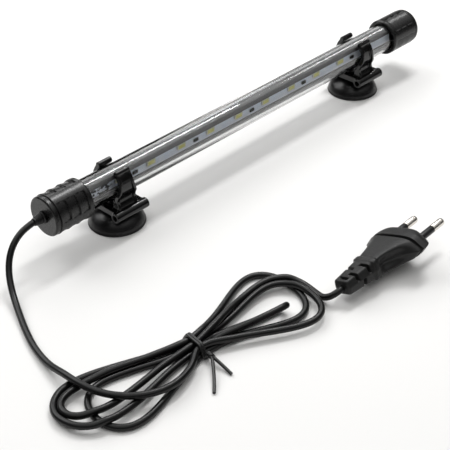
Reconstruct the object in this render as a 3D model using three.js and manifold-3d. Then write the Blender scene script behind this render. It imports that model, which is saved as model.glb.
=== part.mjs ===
// Submersible LED aquarium light: a clear sealed tube with ten LEDs on a half-round carrier, held by
// two snap clips on suction cups, with a thin round mains cord tied in a hank and a flat two-pin plug.
// Millimetres, +Z up. The tube lies along X with the cord at its -X end. The origin is on the surface
// that the suction cups stand on, under the middle of the tube. The LEDs face -Y.

import * as THREE from 'three';
import { mergeVertices } from 'three/addons/utils/BufferGeometryUtils.js';
import Module from 'manifold-3d';

// ---------------------------------------------------------------- driving dimensions

const GAP = 0.3; // clearance between touching pieces
const LAMP_LENGTH = 290; // outer face to outer face of the end caps
const AXIS_HEIGHT = 25.3; // tube axis above the surface

const TUBE_RADIUS = 8.4;
const TUBE_WALL = 1.2;
const TUBE_BORE = TUBE_RADIUS - TUBE_WALL;

const CAP_LENGTH = 24;
const CAP_RADIUS = 10.9;
const CAP_DISC_RADIUS = 10.6;
const CAP_END_WALL = 5.5;
const CAP_BORE = TUBE_RADIUS + GAP;
const CAP_GLAND_HOLE = 2.8;
const GRIP = { depth: 0.9, startX: 3.4, pitch: 5.9, teeth: 3, sectors: 4, land: 0.28, turn: 0.35 };
const SEAL_WIDTH = 1.8;
const SEAL_RADIUS = CAP_BORE + 0.7;
const SEAL_SEAT_X = CAP_LENGTH - 4.4; // from the cap's closed end
const SEAL_PLAY = 0.1;

const END_PLUG_LENGTH = 5;
const CARRIER_RADIUS = TUBE_BORE - 0.3;
const CARRIER_WALL = 1.2;
const CARRIER_SEAT_Y = -1.2; // floor of the slot that holds the board
const CARRIER_FRONT_Y = -3.6;
const CARRIER_CHAMFER_Y = -1.9; // where the slope below the slot meets the round back
const CARRIER_HALF_LENGTH = 130;

const PCB_THICKNESS = 1;
const PCB_BOTTOM_Z = -2.6;
const PCB_TOP_Z = 3;
const PCB_HALF_LENGTH = 124;
const PCB_FRONT_Y = CARRIER_SEAT_Y - 0.2 - PCB_THICKNESS;
const PCB_MIDDLE_Z = (PCB_TOP_Z + PCB_BOTTOM_Z) / 2;

const LED_COUNT = 10;
const LED_PITCH = 21.8;
const LED_SIZE = { length: 5.7, depth: 0.8, height: 3 };
const LED_Z = 1.2; // the LEDs sit above the board's middle
const RESISTOR_SIZE = { length: 3.2, depth: 0.6, height: 1.6 };

const DRIVER_START_X = -126;
const DRIVER_LENGTH = 44;

const CLIP_X = { near: -99.5, far: 94.5 };
const CLIP_BORE = TUBE_RADIUS + GAP;
const CLIP_RIB_THICKNESS = 2.4;
const CLIP_STRIP_THICKNESS = 1.2;
const CLIP_WRAP_UP = 46 * (Math.PI / 180); // grip above the tube's middle
const CLIP_WRAP_DOWN = 30 * (Math.PI / 180); // grip below it
const CLIP_TIP_HALF_WIDTH = 4.4;
const CLIP_ARM_HALF_WIDTH = 6.2;
const CLIP_FOOT_HALF_WIDTH = 7.4;
const CLIP_RIB_WIDTH = 1.6;
const FINGER_BAR_RADIUS = 1.6;
const BARREL_RADIUS = 2.8;
const BARREL_BORE = 1.6;
const BARREL_HALF_LENGTH = 10.75;
const BARREL_Y = 11.5;
const BASE_PLATE = { bottom: 11, top: 12.8, halfLength: 9.6 };
const BASE_RIM = { width: 2, height: 1.6 }; // raised bars along the plate's ends
const NECK_RADIUS = 3.6;
const CUP_RADIUS = 15.3;

const CORD_DIAMETER = 3.3;
const CORD_SIDES = 8;
const GLAND_END_X = -151;

const PLUG = {
  face: [-20.7, -126.7, 10.3],
  yaw: 0.012,
  tilt: 0.049,
  roll: 0.373,
  width: 35.3,
  flatWidth: 20,
  thickness: 12.2,
  bodyLength: 31,
  length: 50.3,
  bevel: 1.2,
  grooveX: -9.5,
};
const PLUG_RELIEF = {
  tailRadius: 4.9,
  neckRadius: 6.4,
  flatness: 0.78,
  slotDepth: 1,
  slotWidth: 1.3,
  slots: 4,
};
const PIN = { radius: 2, length: 19, sleeve: 10, spacing: 16.8, shank: 1.3, root: 5.5 };

const HANK = {
  waist: [-143, -102.8],
  turn: -0.117,
  waistHalfWidth: 7.5,
  height: 9,
  left: { centre: -37.5, reach: 37.5, halfWidth: 19.5 },
  right: { centre: 36, reach: 33, halfWidth: 22.5 },
};
const TIE = { width: 2.4, thickness: 1.2, wire: 0.8 };

// The cord's own line from the gland down to the surface and along it to the hank.
const CORD_RUN_ROUTE = [
  [-151.3, 0, 25.3],
  [-158, -0.3, 24.1],
  [-164.5, -1.2, 20.4],
  [-169.7, -3.4, 15],
  [-173.7, -7.6, 9.3],
  [-177.6, -14.6, 4.8],
  [-182.2, -24.6, 2.4],
  [-187.6, -36.6, 1.9],
  [-192.6, -50, 2.2],
  [-195.8, -64, 3.6],
  [-196.8, -76.3, 5.2],
];

// The short lead from the hank into the back of the plug.
const CORD_LEAD_ROUTE = [
  [-77.6, -121.2, 2.6],
  [-76.9, -124.4, 4.2],
  [-75.4, -126.7, 6.4],
  [-71.6, -127.4, 7.5],
];

// ---------------------------------------------------------------- materials

const material = (color, roughness, metalness = 0) =>
  new THREE.MeshStandardMaterial({ color, roughness, metalness });

const clearAcrylic = new THREE.MeshStandardMaterial({
  color: 0xdfe8ea,
  roughness: 0.05,
  transparent: true,
  opacity: 0.35,
});
const blackCap = material(0x161618, 0.45);
const blackClip = material(0x0d0d0f, 0.28);
const blackRubber = material(0x111113, 0.55);
const blackCord = material(0x131315, 0.5);
const darkCarrier = material(0x2b2e33, 0.4, 0.6);
const whiteBoard = material(0xe9eef4, 0.45);
const greenBoard = material(0x2c5a3c, 0.5);
const ledYellow = material(0xe8d96a, 0.35);
const partBlack = material(0x1a1a1a, 0.5);
const partBeige = material(0xb59a63, 0.5);
const nickel = material(0xd6d2c8, 0.2, 1);
const wireBrown = material(0x5b3320, 0.5);
const wireBlue = material(0x24406f, 0.5);
const wireRed = material(0x9c2420, 0.5);

// ---------------------------------------------------------------- solids and geometry helpers

const wasm = await Module();
wasm.setup();

function toSolid(geometry) {
  const bare = geometry.index ? geometry.toNonIndexed() : geometry.clone();
  bare.deleteAttribute('normal');
  bare.deleteAttribute('uv');
  const merged = mergeVertices(bare, 1e-4);
  const mesh = new wasm.Mesh({
    numProp: 3,
    vertProperties: new Float32Array(merged.attributes.position.array),
    triVerts: new Uint32Array(merged.index.array),
  });
  mesh.merge();
  return new wasm.Manifold(mesh);
}

function toGeometry(solid) {
  const mesh = solid.getMesh();
  const geometry = new THREE.BufferGeometry();
  geometry.setAttribute('position', new THREE.BufferAttribute(new Float32Array(mesh.vertProperties), 3));
  geometry.setIndex(new THREE.BufferAttribute(new Uint32Array(mesh.triVerts), 1));
  geometry.computeVertexNormals();
  return geometry;
}

const join = (geometries) =>
  toGeometry(geometries.map(toSolid).reduce((sum, solid) => sum.add(solid)));

const cut = (geometry, tools) =>
  toGeometry(tools.map(toSolid).reduce((rest, tool) => rest.subtract(tool), toSolid(geometry)));

const intersect = (first, second) => toGeometry(toSolid(first).intersect(toSolid(second)));

const point2 = ([x, y]) => new THREE.Vector2(x, y);
const point3 = ([x, y, z]) => new THREE.Vector3(x, y, z);

// A solid of revolution about X. Its profile holds [radius, x] points with x rising.
function turnedAboutX(profile, segments) {
  return new THREE.LatheGeometry(profile.map(point2), segments).rotateZ(-Math.PI / 2);
}

// A solid of revolution about Z. Its profile holds [radius, z] points.
function turnedAboutZ(profile, segments) {
  return new THREE.LatheGeometry(profile.map(point2), segments).rotateX(Math.PI / 2);
}

// Extrudes a shape drawn in Y and Z along X, from startX on.
function extrudedAlongX(shape, length, startX, curveSegments = 24) {
  const turn = new THREE.Matrix4().makeBasis(
    new THREE.Vector3(0, 1, 0),
    new THREE.Vector3(0, 0, 1),
    new THREE.Vector3(1, 0, 0),
  );
  return new THREE.ExtrudeGeometry(shape, { depth: length, bevelEnabled: false, curveSegments })
    .applyMatrix4(turn)
    .translate(startX, 0, 0);
}

// Extrudes a shape drawn in X and Z along Y, centred on Y = 0.
function extrudedAlongY(shape, width, curveSegments = 8) {
  return new THREE.ExtrudeGeometry(shape, { depth: width, bevelEnabled: false, curveSegments })
    .rotateX(Math.PI / 2)
    .translate(0, width / 2, 0);
}

function tubeAlong(route, radius, sides, steps) {
  const section = new THREE.Shape();
  for (let side = 0; side < sides; side += 1) {
    const angle = (side / sides) * 2 * Math.PI;
    const place = [radius * Math.cos(angle), radius * Math.sin(angle)];
    if (side === 0) section.moveTo(...place);
    else section.lineTo(...place);
  }
  const path = new THREE.CatmullRomCurve3(route.map(point3));
  return new THREE.ExtrudeGeometry(section, { steps, extrudePath: path, curveSegments: 1 });
}

function box(x, y, z, place) {
  return new THREE.BoxGeometry(x, y, z).translate(...place);
}

function rodAlongX(radius, length, place, segments = 24) {
  return new THREE.CylinderGeometry(radius, radius, length, segments)
    .rotateZ(-Math.PI / 2)
    .translate(...place);
}

function addMesh(parent, name, geometry, look, place = [0, 0, 0]) {
  const mesh = new THREE.Mesh(geometry, look);
  mesh.name = name;
  mesh.position.set(...place);
  parent.add(mesh);
  return mesh;
}

// ---------------------------------------------------------------- tube and end caps

function tubeGeometry() {
  const halfLength = LAMP_LENGTH / 2 - CAP_END_WALL - GAP;
  const ring = [
    [TUBE_BORE, -halfLength],
    [TUBE_RADIUS, -halfLength],
    [TUBE_RADIUS, halfLength],
    [TUBE_BORE, halfLength],
    [TUBE_BORE, -halfLength],
  ];
  return turnedAboutX(ring, 32);
}

// One sector of the grip: a thick shell round the cap's outer skin, as long as the teeth.
function gripSector(index) {
  const middle = (index + 0.5) * ((2 * Math.PI) / GRIP.sectors) + GRIP.turn;
  const halfAngle = Math.PI / GRIP.sectors - GRIP.land;
  const shape = new THREE.Shape();
  shape.absarc(0, 0, CAP_RADIUS + 2, middle - halfAngle, middle + halfAngle, false);
  shape.absarc(0, 0, CAP_RADIUS - 2, middle + halfAngle, middle - halfAngle, true);
  shape.closePath();
  return extrudedAlongX(shape, GRIP.pitch * GRIP.teeth + 1, GRIP.startX - 0.5, 6);
}

// What a tooth leaves out of the skin: a ring that deepens along the tooth and ends in a step.
function toothRing(index) {
  const start = GRIP.startX + index * GRIP.pitch;
  const end = start + GRIP.pitch;
  const ring = [
    [CAP_RADIUS, start],
    [CAP_RADIUS + 1, start],
    [CAP_RADIUS + 1, end],
    [CAP_RADIUS - GRIP.depth, end],
    [CAP_RADIUS, start],
  ];
  return turnedAboutX(ring, 32);
}

const countTo = (count) => [...Array(count).keys()];

// The cap with its closed end at x = 0 and its mouth at x = CAP_LENGTH.
function capGeometry(glandHoleRadius) {
  const seatEnd = SEAL_SEAT_X + SEAL_WIDTH + 2 * SEAL_PLAY;
  const outside = [
    [CAP_DISC_RADIUS - 0.7, 0],
    [CAP_DISC_RADIUS, 0.7],
    [CAP_DISC_RADIUS, 2.4],
    [CAP_DISC_RADIUS - 0.5, 2.6],
    [CAP_DISC_RADIUS - 0.5, 3],
    [CAP_RADIUS, 3.2],
    [CAP_RADIUS, CAP_LENGTH - 0.7],
    [CAP_RADIUS - 0.6, CAP_LENGTH],
  ];
  const inside = [
    [CAP_BORE, CAP_LENGTH],
    [CAP_BORE, seatEnd],
    [SEAL_RADIUS + SEAL_PLAY, seatEnd],
    [SEAL_RADIUS + SEAL_PLAY, SEAL_SEAT_X],
    [CAP_BORE, SEAL_SEAT_X],
    [CAP_BORE, CAP_END_WALL],
  ];
  const start = [[glandHoleRadius, 0]];
  const finish = [[glandHoleRadius, CAP_END_WALL]];
  if (glandHoleRadius > 0) finish.push(...start);
  const body = turnedAboutX([...start, ...outside, ...inside, ...finish], 32);
  const rings = join(countTo(GRIP.teeth).map(toothRing));
  const sectors = join(countTo(GRIP.sectors).map(gripSector));
  return cut(body, [intersect(rings, sectors)]);
}

function sealGeometry() {
  const inner = TUBE_RADIUS + SEAL_PLAY;
  const ring = [
    [inner, 0],
    [SEAL_RADIUS, 0],
    [SEAL_RADIUS, SEAL_WIDTH],
    [inner, SEAL_WIDTH],
    [inner, 0],
  ];
  return turnedAboutX(ring, 28);
}

function endPlugGeometry(wireHoleRadius) {
  const radius = TUBE_BORE - 0.2;
  if (wireHoleRadius === 0) {
    return turnedAboutX([[0, 0], [radius, 0], [radius, END_PLUG_LENGTH], [0, END_PLUG_LENGTH]], 24);
  }
  const ring = [
    [wireHoleRadius, 0],
    [radius, 0],
    [radius, END_PLUG_LENGTH],
    [wireHoleRadius, END_PLUG_LENGTH],
    [wireHoleRadius, 0],
  ];
  return turnedAboutX(ring, 24);
}

function buildEnclosure(lamp) {
  const half = LAMP_LENGTH / 2;
  const sealX = half - SEAL_SEAT_X - SEAL_WIDTH - SEAL_PLAY;
  const plugX = CARRIER_HALF_LENGTH + 0.5;
  addMesh(lamp, 'clear_tube', tubeGeometry(), clearAcrylic);
  addMesh(lamp, 'near_end_cap', capGeometry(CAP_GLAND_HOLE), blackCap, [-half, 0, 0]);
  const farCap = addMesh(lamp, 'far_end_cap', capGeometry(0), blackCap, [half, 0, 0]);
  farCap.rotation.z = Math.PI;
  addMesh(lamp, 'near_cap_seal', sealGeometry(), blackRubber, [-sealX - SEAL_WIDTH, 0, 0]);
  addMesh(lamp, 'far_cap_seal', sealGeometry(), blackRubber, [sealX, 0, 0]);
  addMesh(lamp, 'near_end_plug', endPlugGeometry(2.6), blackRubber, [-plugX - END_PLUG_LENGTH, 0, 0]);
  addMesh(lamp, 'far_end_plug', endPlugGeometry(0), blackRubber, [plugX, 0, 0]);
}

// ---------------------------------------------------------------- LED strip and driver

// The carrier's section in Y and Z: a round with a slot for the board in front and a hollow behind.
function carrierGeometry() {
  const angleAt = (y) => Math.acos(y / CARRIER_RADIUS);
  const slotTop = PCB_TOP_Z + 0.2;
  const slotBottom = PCB_BOTTOM_Z - 0.2;
  const shape = new THREE.Shape();
  shape.absarc(0, 0, CARRIER_RADIUS, -angleAt(CARRIER_CHAMFER_Y), angleAt(CARRIER_FRONT_Y), false);
  shape.lineTo(CARRIER_FRONT_Y, slotTop);
  shape.lineTo(CARRIER_SEAT_Y, slotTop);
  shape.lineTo(CARRIER_SEAT_Y, slotBottom);
  shape.lineTo(CARRIER_FRONT_Y, slotBottom);
  shape.lineTo(CARRIER_FRONT_Y, slotBottom - 0.8);
  shape.closePath();
  const hollowRadius = CARRIER_RADIUS - CARRIER_WALL;
  const hollow = new THREE.Path();
  hollow.absarc(0, 0, hollowRadius, -Math.PI / 2, Math.PI / 2, false);
  hollow.closePath();
  shape.holes.push(hollow);
  return extrudedAlongX(shape, 2 * CARRIER_HALF_LENGTH, -CARRIER_HALF_LENGTH, 20);
}

function buildLedStrip(lamp) {
  addMesh(lamp, 'led_carrier', carrierGeometry(), darkCarrier);
  const pcbHeight = PCB_TOP_Z - PCB_BOTTOM_Z;
  const pcb = new THREE.BoxGeometry(2 * PCB_HALF_LENGTH, PCB_THICKNESS, pcbHeight);
  addMesh(lamp, 'led_board', pcb, whiteBoard, [0, PCB_FRONT_Y + PCB_THICKNESS / 2, PCB_MIDDLE_Z]);

  const ledY = PCB_FRONT_Y - 0.15 - LED_SIZE.depth / 2;
  for (let index = 0; index < LED_COUNT; index += 1) {
    const x = (index - (LED_COUNT - 1) / 2) * LED_PITCH;
    const chip = new THREE.BoxGeometry(LED_SIZE.length, LED_SIZE.depth, LED_SIZE.height);
    addMesh(lamp, `led_${index + 1}`, chip, ledYellow, [x, ledY, LED_Z]);
  }
  const resistorY = PCB_FRONT_Y - 0.15 - RESISTOR_SIZE.depth / 2;
  for (let index = 0; index < LED_COUNT / 2; index += 1) {
    const x = (2 * index + 0.5 - (LED_COUNT - 1) / 2) * LED_PITCH;
    const chip = new THREE.BoxGeometry(RESISTOR_SIZE.length, RESISTOR_SIZE.depth, RESISTOR_SIZE.height);
    addMesh(lamp, `chip_resistor_${index + 1}`, chip, partBlack, [x, resistorY, PCB_MIDDLE_Z]);
  }
}

// The driver board lies in the carrier's hollow at the cord end, its parts towards +Y.
function buildDriver(lamp) {
  const boardY = 0.8;
  const partY = boardY + 0.7;
  const middleX = DRIVER_START_X + DRIVER_LENGTH / 2;
  const board = new THREE.BoxGeometry(DRIVER_LENGTH, 1, 8.6);
  addMesh(lamp, 'driver_board', board, greenBoard, [middleX, boardY, 0]);
  addMesh(lamp, 'dropper_capacitor', new THREE.BoxGeometry(10, 2.8, 5.6), partBeige, [
    DRIVER_START_X + 12, partY + 1.5, 0,
  ]);
  addMesh(lamp, 'bridge_rectifier', new THREE.BoxGeometry(5, 1.8, 4.4), partBlack, [
    DRIVER_START_X + 22, partY + 1, 0,
  ]);
  addMesh(lamp, 'smoothing_capacitor', rodAlongX(1.6, 9, [0, 0, 0], 20), partBlack, [
    DRIVER_START_X + 33, partY + 1.8, 0,
  ]);
}

function buildWires(lamp) {
  const mainsStart = -LAMP_LENGTH / 2 + CAP_END_WALL + 0.8;
  for (const [name, look, side] of [['live_wire', wireBrown, 1], ['neutral_wire', wireBlue, -1]]) {
    const route = [
      [mainsStart, 0, side * 1.1],
      [-CARRIER_HALF_LENGTH - 2, 0.4, side * 1.3],
      [DRIVER_START_X - 1.2, 2.2, side * 2.4],
      [DRIVER_START_X + 4, 2.3, side * 3.2],
    ];
    addMesh(lamp, name, tubeAlong(route, 0.55, 6, 8), look);
  }
  for (const [name, look, side] of [['positive_lead', wireRed, 1], ['negative_lead', partBlack, -1]]) {
    const z = PCB_MIDDLE_Z + side * 1.4;
    const route = [
      [-PCB_HALF_LENGTH + 1, PCB_FRONT_Y - 0.7, z],
      [-PCB_HALF_LENGTH - 4, PCB_FRONT_Y - 0.8, z + side * 0.2],
      [-CARRIER_HALF_LENGTH + 0.6, PCB_FRONT_Y - 0.8, z + side * 0.4],
    ];
    addMesh(lamp, name, tubeAlong(route, 0.45, 6, 5), look);
  }
}

// ---------------------------------------------------------------- snap clips and suction cups

// A strip of even thickness between two offsets to the left of a path drawn in Y and Z.
function stripShape(path, innerOffset, outerOffset) {
  const normalAt = (index) => {
    const before = path[Math.max(index - 1, 0)];
    const after = path[Math.min(index + 1, path.length - 1)];
    const along = after.clone().sub(before).normalize();
    return new THREE.Vector2(-along.y, along.x);
  };
  const offset = (distance) =>
    path.map((point, index) => normalAt(index).multiplyScalar(distance).add(point));
  return new THREE.Shape([...offset(outerOffset), ...offset(innerOffset).reverse()]);
}

// The clip arm's inner line: round the tube from the tip down, then a reverse bend out to the barrel.
function armLine() {
  const onTube = (angle) => new THREE.Vector2(-CLIP_BORE * Math.cos(angle), CLIP_BORE * Math.sin(angle));
  const steps = 9;
  const points = [];
  for (let step = 0; step <= steps; step += 1) {
    points.push(onTube(THREE.MathUtils.lerp(CLIP_WRAP_UP, -CLIP_WRAP_DOWN, step / steps)));
  }
  const start = points[steps];
  const down = new THREE.Vector2(Math.sin(CLIP_WRAP_DOWN), -Math.cos(CLIP_WRAP_DOWN));
  const bend = new THREE.CubicBezierCurve(
    start,
    start.clone().addScaledVector(down, 3),
    new THREE.Vector2(-7, -11),
    new THREE.Vector2(-10.6, -13.2),
  );
  return [...points, ...bend.getPoints(6).slice(1)];
}

// The arm seen from the front: slim at the tip, wider past the tube's middle, flared at the foot.
function armOutline(inset) {
  const tip = CLIP_TIP_HALF_WIDTH - inset;
  const middle = CLIP_ARM_HALF_WIDTH - inset;
  const foot = CLIP_FOOT_HALF_WIDTH - inset;
  const shape = new THREE.Shape();
  shape.moveTo(tip, 12);
  shape.lineTo(tip, 5);
  shape.quadraticCurveTo(tip, 0, middle, -3.5);
  shape.lineTo(middle, -8);
  shape.quadraticCurveTo(middle, -10.5, foot, -12 + inset);
  shape.lineTo(foot, -15 + inset);
  shape.lineTo(-foot, -15 + inset);
  shape.lineTo(-foot, -12 + inset);
  shape.quadraticCurveTo(-middle, -10.5, -middle, -8);
  shape.lineTo(-middle, -3.5);
  shape.quadraticCurveTo(-tip, 0, -tip, 5);
  shape.lineTo(-tip, 12);
  shape.closePath();
  return shape;
}

// The block that fills the arm's foot behind its reverse bend, down to the barrel.
function armFoot(length) {
  const corners = [
    [-6.1, -6.7],
    [-7, -8],
    [-7.5, -10.5],
    [-9.4, -12.5],
    [-11.5, -13.2],
    [-5.5, -13.2],
    [-5.5, -7.4],
  ];
  return extrudedAlongX(new THREE.Shape(corners.map(point2)), length, -length / 2);
}

function clipArm() {
  const line = armLine();
  const span = 2 * CLIP_FOOT_HALF_WIDTH + 2;
  const thick = extrudedAlongX(stripShape(line, 0, -CLIP_RIB_THICKNESS), span, -span / 2);
  const channel = extrudedAlongX(
    stripShape(line, -CLIP_STRIP_THICKNESS, -CLIP_RIB_THICKNESS - 1),
    span,
    -span / 2,
  );
  const outline = extrudedAlongY(armOutline(0), 40);
  const arm = intersect(join([thick, armFoot(span)]), outline);
  const pocket = intersect(channel, extrudedAlongY(armOutline(CLIP_RIB_WIDTH), 40));
  const barRadius = CLIP_BORE + FINGER_BAR_RADIUS;
  const barAngle = CLIP_WRAP_UP + 0.06;
  const bar = rodAlongX(FINGER_BAR_RADIUS, 2 * CLIP_TIP_HALF_WIDTH, [
    0, -barRadius * Math.cos(barAngle), barRadius * Math.sin(barAngle),
  ], 16);
  return join([cut(arm, [pocket]), bar]);
}

function clipGeometry() {
  const plateHeight = BASE_PLATE.top - BASE_PLATE.bottom;
  const plateZ = (BASE_PLATE.top + BASE_PLATE.bottom) / 2 - AXIS_HEIGHT;
  const plate = box(2 * BASE_PLATE.halfLength, 2 * BARREL_Y, plateHeight, [0, 0, plateZ]);
  const rimX = BASE_PLATE.halfLength - BASE_RIM.width / 2;
  const rimZ = plateZ + BASE_RIM.height / 2;
  const rims = [-rimX, rimX].map((x) =>
    box(BASE_RIM.width, 2 * BARREL_Y, plateHeight + BASE_RIM.height, [x, 0, rimZ]));
  const frontArm = clipArm();
  const backArm = frontArm.clone().rotateZ(Math.PI);
  const rods = (radius, length, segments) =>
    [-BARREL_Y, BARREL_Y].map((y) => rodAlongX(radius, length, [0, y, plateZ], segments));
  const barrels = rods(BARREL_RADIUS, 2 * BARREL_HALF_LENGTH, 20);
  const bores = rods(BARREL_BORE, 2 * BARREL_HALF_LENGTH + 2, 12);
  const neckHole = new THREE.CylinderGeometry(NECK_RADIUS + GAP, NECK_RADIUS + GAP, 6, 28)
    .rotateX(Math.PI / 2)
    .translate(0, 0, plateZ);
  return cut(join([plate, ...rims, frontArm, backArm, ...barrels]), [...bores, neckHole]);
}

// The cup with its rim at z = 0: a shallow hollow below, a round dome, a neck and a mushroom head.
function cupGeometry() {
  const headTop = BASE_PLATE.top + 1.7;
  const profile = [
    [0, 3.4],
    [5, 3.2],
    [9.5, 2.2],
    [12.6, 0.7],
    [13.6, 0],
    [CUP_RADIUS - 0.3, 0],
    [CUP_RADIUS, 1],
    [CUP_RADIUS - 0.3, 2.6],
    [CUP_RADIUS - 1.6, 4.8],
    [CUP_RADIUS - 3.8, 6.9],
    [CUP_RADIUS - 6.3, 8.3],
    [6.4, 9.2],
    [5.6, BASE_PLATE.bottom - GAP],
    [NECK_RADIUS, BASE_PLATE.bottom - GAP],
    [NECK_RADIUS, BASE_PLATE.top + GAP],
    [4.9, BASE_PLATE.top + GAP],
    [4.9, headTop - 0.6],
    [4.2, headTop],
    [0, headTop],
  ];
  return turnedAboutZ(profile, 32);
}

function buildHolder(parent, side) {
  const x = CLIP_X[side];
  addMesh(parent, `${side}_clip`, clipGeometry(), blackClip, [x, 0, AXIS_HEIGHT]);
  addMesh(parent, `${side}_suction_cup`, cupGeometry(), blackRubber, [x, 0, 0]);
}

// ---------------------------------------------------------------- cord, hank, tie and plug

function glandGeometry() {
  const inner = -LAMP_LENGTH / 2 + CAP_END_WALL + 0.3;
  const face = -LAMP_LENGTH / 2 - GAP;
  const profile = [
    [0, GLAND_END_X],
    [2, GLAND_END_X],
    [2.4, GLAND_END_X + 0.6],
    [3, face - 1.2],
    [3.3, face - 0.8],
    [3.3, face],
    [2.5, face],
    [2.5, inner],
    [0, inner],
  ];
  return turnedAboutX(profile, 16);
}

// The hank seen from above: two round lobes that meet in a narrow waist.
function hankShape() {
  const { left, right, waistHalfWidth } = HANK;
  const openingAngle = (lobe) => Math.asin(waistHalfWidth / lobe.halfWidth);
  const leftAngle = openingAngle(left);
  const rightAngle = openingAngle(right);
  const shape = new THREE.Shape();
  shape.absellipse(left.centre, 0, left.reach, left.halfWidth, leftAngle, -leftAngle, false, 0);
  shape.absellipse(
    right.centre, 0, right.reach, right.halfWidth, Math.PI + rightAngle, Math.PI - rightAngle, false, 0,
  );
  shape.closePath();
  return shape;
}

function hankGeometry() {
  const bevel = 1.6;
  const body = new THREE.ExtrudeGeometry(hankShape(), {
    depth: HANK.height - 2 * bevel,
    bevelSize: bevel,
    bevelThickness: bevel,
    bevelOffset: -bevel,
    bevelSegments: 1,
    curveSegments: 14,
  }).translate(0, 0, bevel);
  const { width, thickness } = TIE;
  const reach = HANK.waistHalfWidth + 6;
  const groove = thickness + GAP;
  const band = box(width + 2 * GAP, 2 * reach, 2 * HANK.height, [0, 0, HANK.height / 2]);
  const core = box(width + 2 * GAP, 2 * (HANK.waistHalfWidth - groove), HANK.height - 2 * groove, [
    0, 0, HANK.height / 2,
  ]);
  return cut(body, [cut(band, [core])]);
}

// The wire tie: a band round the waist, a twisted knot on its -Y side and two free ends.
function tieGeometry() {
  const { width, thickness, wire } = TIE;
  const outerY = HANK.waistHalfWidth;
  const top = HANK.height;
  const outer = box(width, 2 * outerY, top - 0.2, [0, 0, top / 2 + 0.1]);
  const hole = box(width + 2, 2 * (outerY - thickness), top - 2 * thickness - 0.2, [0, 0, top / 2 + 0.1]);
  const band = cut(outer, [hole]);
  const knot = tubeAlong([[0, -8.2, 5.6], [0.4, -8.9, 4.2], [0.9, -9.4, 2.6]], 1.5, 8, 4);
  const longRoute = [
    [0.4, -9, 3.6],
    [1.2, -13, 3.4],
    [2, -18, 1.8],
    [2.2, -22, 0.9],
  ];
  const shortRoute = [
    [0.4, -9, 3.6],
    [-1.5, -13, 3.8],
    [-6, -20, 2.2],
    [-11, -26.5, 0.9],
  ];
  const longEnd = tubeAlong(longRoute, wire, 6, 8);
  const shortEnd = tubeAlong(shortRoute, wire, 6, 8);
  return join([band, knot, longEnd, shortEnd]);
}

function buildCord(parent) {
  const radius = CORD_DIAMETER / 2;
  addMesh(parent, 'cord_gland', glandGeometry(), blackRubber, [0, 0, AXIS_HEIGHT]);
  addMesh(parent, 'cord_run', tubeAlong(CORD_RUN_ROUTE, radius, CORD_SIDES, 16), blackCord);
  addMesh(parent, 'cord_lead', tubeAlong(CORD_LEAD_ROUTE, radius, CORD_SIDES, 5), blackCord);
  const bundle = new THREE.Group();
  bundle.position.set(...HANK.waist, 0);
  bundle.rotation.z = HANK.turn;
  parent.add(bundle);
  addMesh(bundle, 'cord_hank', hankGeometry(), blackCord, [0, 0, 0.1]);
  addMesh(bundle, 'cord_tie', tieGeometry(), blackCord);
}

// The plug's outline from above, from the face (x = 0) back to the neck.
function plugOutline() {
  const half = PLUG.width / 2 - PLUG.bevel;
  const front = -PLUG.bevel;
  const back = -PLUG.bodyLength;
  const corner = 4.4;
  const side = [
    [-9, half],
    [-11, half - 0.6],
    [-15, half - 3],
    [-20, half - 6.3],
    [-25, half - 8.9],
    [back, half - 10.3],
  ];
  const mirrored = side.map(([x, y]) => [x, -y]).reverse();
  const shape = new THREE.Shape();
  shape.moveTo(front, -half + corner);
  shape.lineTo(front, half - corner);
  shape.quadraticCurveTo(front, half, front - corner, half);
  shape.splineThru(side.map(point2));
  shape.lineTo(back, -half + 10.3);
  shape.splineThru(mirrored.slice(1).map(point2));
  shape.lineTo(front - corner, -half);
  shape.quadraticCurveTo(front, -half, front, -half + corner);
  return shape;
}

// The plug's section in Y and Z: flat above and below, with sides that come to a blunt edge.
function plugSection(inset) {
  const width = PLUG.width / 2 - inset;
  const flat = PLUG.flatWidth / 2 - inset / 2;
  const top = PLUG.thickness / 2 - inset;
  const blunt = 1.2;
  const corners = [
    [-flat, -top],
    [flat, -top],
    [width, -blunt],
    [width, blunt],
    [flat, top],
    [-flat, top],
    [-width, blunt],
    [-width, -blunt],
  ];
  return new THREE.Shape(corners.map(point2));
}

// The flat strain relief behind the grip, with slots all round it.
function reliefGeometry() {
  const { tailRadius, neckRadius, flatness, slotDepth, slotWidth, slots } = PLUG_RELIEF;
  const back = -PLUG.length;
  const pitch = (PLUG.length - PLUG.bodyLength) / (slots + 0.5);
  const radiusAt = (x) => THREE.MathUtils.mapLinear(x, back, -PLUG.bodyLength, tailRadius, neckRadius);
  const profile = [
    [0, back],
    [tailRadius - 0.6, back],
    [tailRadius, back + 0.6],
  ];
  for (let slot = 1; slot <= slots; slot += 1) {
    const start = back + slot * pitch - slotWidth / 2;
    const end = start + slotWidth;
    profile.push(
      [radiusAt(start), start],
      [radiusAt(start) - slotDepth, start],
      [radiusAt(end) - slotDepth, end],
      [radiusAt(end), end],
    );
  }
  profile.push([neckRadius, -PLUG.bodyLength + 2], [0, -PLUG.bodyLength + 2]);
  return turnedAboutX(profile, 18).scale(1, 1, flatness);
}

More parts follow.
